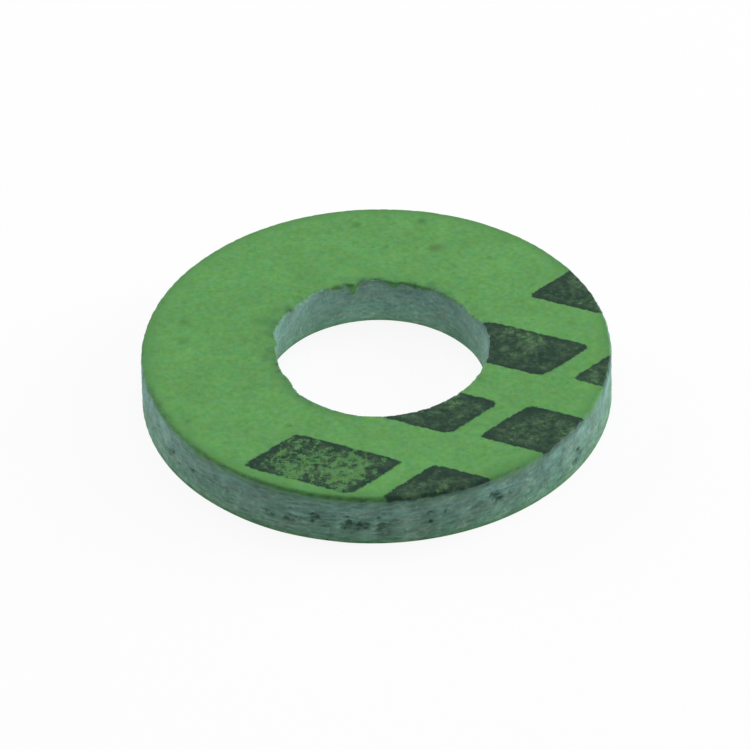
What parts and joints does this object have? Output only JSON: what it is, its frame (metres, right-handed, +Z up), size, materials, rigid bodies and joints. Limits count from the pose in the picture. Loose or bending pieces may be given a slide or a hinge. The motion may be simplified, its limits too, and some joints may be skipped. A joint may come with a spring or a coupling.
{
  "type": "flat gasket",
  "caption": "Flat round gasket: a ring punched from compressed green fibre sheet, clamped between two flat faces to seal round a stem or bolt.",
  "frame": {"origin": "centre of the bore on the underside, which rests on the surface below", "axes": "+Z up along the bore, out of the upper face; X and Y lie in the ring's plane, and the ring looks the same in every direction of it"},
  "size_m": [0.017, 0.017, 0.002],
  "materials": {
    "compressed_fibre": "matt compressed fibre sheet: green calendered faces with worn dark ink bars, and grey-green punched walls"
  },
  "bodies": {
    "root": {"gasket": "compressed_fibre"}
  },
  "joints": []
}
